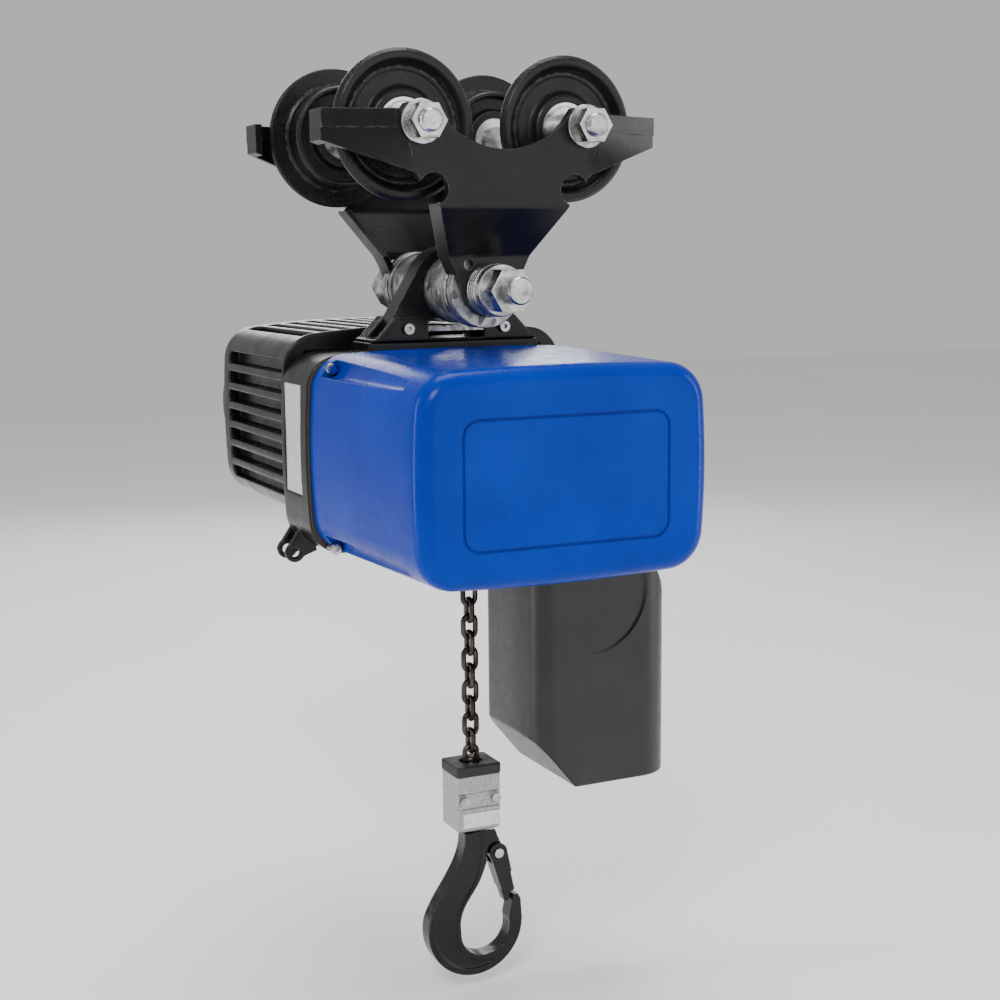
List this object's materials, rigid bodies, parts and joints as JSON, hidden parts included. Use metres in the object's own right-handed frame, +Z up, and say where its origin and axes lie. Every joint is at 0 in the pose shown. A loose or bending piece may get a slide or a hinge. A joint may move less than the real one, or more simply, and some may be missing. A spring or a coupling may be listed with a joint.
{
  "type": "electric chain hoist on push trolley",
  "caption": "Electric chain hoist with gear cover, finned motor, chain box and swivel hook, hung by a suspension bolt from a hand-pushed four-wheel beam trolley.",
  "frame": {"origin": "rail seat: the top face of the beam's lower flange under the wheel treads, in the web plane, midway between the axles", "axes": "+X along the beam, +Y across it away from the gear cover, +Z up"},
  "size_m": [0.267, 0.424, 0.6618],
  "materials": {
    "plate_black": "satin powder coat",
    "zinc_steel": "bright zinc plate",
    "galvanised_steel": "hot-dip galvanised, spangled",
    "cast_wheel": "black cast iron, lightly rough",
    "bearing_steel": "ground steel",
    "cast_black": "satin black paint on die casting",
    "cover_blue": "gloss blue paint, fine orange peel",
    "gasket_rubber": "matt",
    "plate_silver": "satin sheet, blank",
    "case_aluminium": "as cast",
    "gear_steel": "machined",
    "stator_steel": "laminated sheet",
    "copper": "enamelled wire",
    "brake_lining": "sintered lining",
    "control_plastic": "moulded",
    "transformer_iron": "varnished laminations",
    "chain_steel": "dark hardened steel",
    "block_aluminium": "grained die casting",
    "buffer_rubber": "matt",
    "box_plastic": "charcoal, fine grain",
    "hook_black": "gloss black on rough forging"
  },
  "bodies": {
    "trolley": {"side_plate_front": "plate_black", "side_plate_rear": "plate_black", "wheel_axles": "zinc_steel", "axle_washers": "zinc_steel", "axle_nuts": "zinc_steel", "suspension_bolt": "zinc_steel", "suspension_nut": "zinc_steel", "suspension_washers": "zinc_steel", "suspension_spacers": "galvanised_steel"},
    "hoist": {"suspension_eye": "plate_black", "suspension_bracket": "cast_black", "bracket_bolts": "zinc_steel", "bracket_tie_bar": "galvanised_steel", "hoist_frame": "cast_black", "cover_gasket": "gasket_rubber", "gear_cover": "cover_blue", "cover_screws": "zinc_steel", "nameplate": "plate_silver", "gear_case": "case_aluminium", "shaft_bearings": "bearing_steel", "motor_housing": "cast_black", "motor_end_cap": "cast_black", "stator_core": "stator_steel", "stator_windings": "copper", "brake_coil": "gear_steel", "control_plate": "galvanised_steel", "contactors": "control_plastic", "transformer": "transformer_iron", "terminal_block": "control_plastic", "cable_gland": "control_plastic", "chain_guide": "case_aluminium", "chain_box": "box_plastic", "chain_box_bolt": "zinc_steel"},
    "motor_rotor": {"motor_shaft": "gear_steel", "rotor_core": "stator_steel", "brake_disc": "brake_lining"},
    "brake_plate": {"brake_armature": "gear_steel"},
    "layshaft": {"layshaft": "gear_steel", "layshaft_gear": "gear_steel"},
    "sprocket_shaft": {"chain_sprocket": "gear_steel", "sprocket_gear": "gear_steel"},
    "load_chain": {"load_chain": "chain_steel"},
    "slack_chain": {"slack_chain": "chain_steel"},
    "hook_block": {"hook_block": "block_aluminium", "block_buffer": "buffer_rubber", "block_screws": "zinc_steel", "block_plate": "plate_silver", "chain_pin": "gear_steel", "captured_link": "chain_steel"},
    "hook": {"hook": "hook_black", "latch_pin": "zinc_steel"},
    "safety_latch": {"safety_latch": "hook_black"},
    "wheel_front_left": {"wheel_front_left": "cast_wheel", "wheel_bearing_front_left": "bearing_steel"},
    "wheel_front_right": {"wheel_front_right": "cast_wheel", "wheel_bearing_front_right": "bearing_steel"},
    "wheel_rear_left": {"wheel_rear_left": "cast_wheel", "wheel_bearing_rear_left": "bearing_steel"},
    "wheel_rear_right": {"wheel_rear_right": "cast_wheel", "wheel_bearing_rear_right": "bearing_steel"}
  },
  "joints": [
    {"name": "wheel_spin_front_left", "type": "hinge", "parent": "trolley", "child": "wheel_front_left", "pos_m": [-0.0584, -0.055, 0.035], "axis": [0, 1, 0], "continuous": true},
    {"name": "wheel_spin_front_right", "type": "hinge", "parent": "trolley", "child": "wheel_front_right", "pos_m": [0.0584, -0.055, 0.035], "axis": [0, 1, 0], "continuous": true},
    {"name": "wheel_spin_rear_left", "type": "hinge", "parent": "trolley", "child": "wheel_rear_left", "pos_m": [-0.0584, 0.055, 0.035], "axis": [0, 1, 0], "continuous": true},
    {"name": "wheel_spin_rear_right", "type": "hinge", "parent": "trolley", "child": "wheel_rear_right", "pos_m": [0.0584, 0.055, 0.035], "axis": [0, 1, 0], "continuous": true},
    {"name": "hoist_swing", "type": "hinge", "parent": "trolley", "child": "hoist", "pos_m": [0, 0, -0.0705], "axis": [0, 1, 0], "range_deg": [-15, 15]},
    {"name": "rotor_spin", "type": "hinge", "parent": "hoist", "child": "motor_rotor", "pos_m": [-0.008, 0.1, -0.158], "axis": [0, 1, 0], "range_deg": [-2353, 1711]},
    {"name": "brake_release", "type": "slide", "parent": "hoist", "child": "brake_plate", "axis": [0, 1, 0], "range_m": [0, 0.0005], "stiffness_N_per_m": 2000, "springref_m": -0.001},
    {"name": "layshaft_spin", "type": "hinge", "parent": "hoist", "child": "layshaft", "pos_m": [0.01206, -0.04, -0.18789], "axis": [0, 1, 0], "range_deg": [-413.84, 569.11]},
    {"name": "sprocket_spin", "type": "hinge", "parent": "hoist", "child": "sprocket_shaft", "pos_m": [0.03212, 0, -0.158], "axis": [0, 1, 0], "range_deg": [-162.61, 118.25]},
    {"name": "chain_travel", "type": "slide", "parent": "hoist", "child": "load_chain", "axis": [0, 0, 1], "range_m": [-0.05511, 0.04008]},
    {"name": "slack_travel", "type": "slide", "parent": "hoist", "child": "slack_chain", "axis": [0, 0, 1], "range_m": [-0.04008, 0.05511]},
    {"name": "block_swing", "type": "hinge", "parent": "load_chain", "child": "hook_block", "pos_m": [0.0127, 0, -0.4196], "axis": [1, 0, 0], "range_deg": [-20, 20]},
    {"name": "hook_swivel", "type": "hinge", "parent": "hook_block", "child": "hook", "pos_m": [0.0127, 0, -0.46], "axis": [0, 0, 1], "continuous": true},
    {"name": "latch_swing", "type": "hinge", "parent": "hook", "child": "safety_latch", "pos_m": [0.0316, 0, -0.487], "axis": [0, 1, 0], "range_deg": [0, 35], "stiffness_Nm_per_rad": 0.03, "springref_deg": -20.05}
  ],
  "couplings": [
    {"joint": "layshaft_spin", "follows": "rotor_spin", "ratio": -0.24138},
    {"joint": "sprocket_spin", "follows": "rotor_spin", "ratio": 0.068966},
    {"joint": "chain_travel", "follows": "rotor_spin", "m_per_rad": 0.0013391},
    {"joint": "slack_travel", "follows": "rotor_spin", "m_per_rad": -0.0013391}
  ]
}
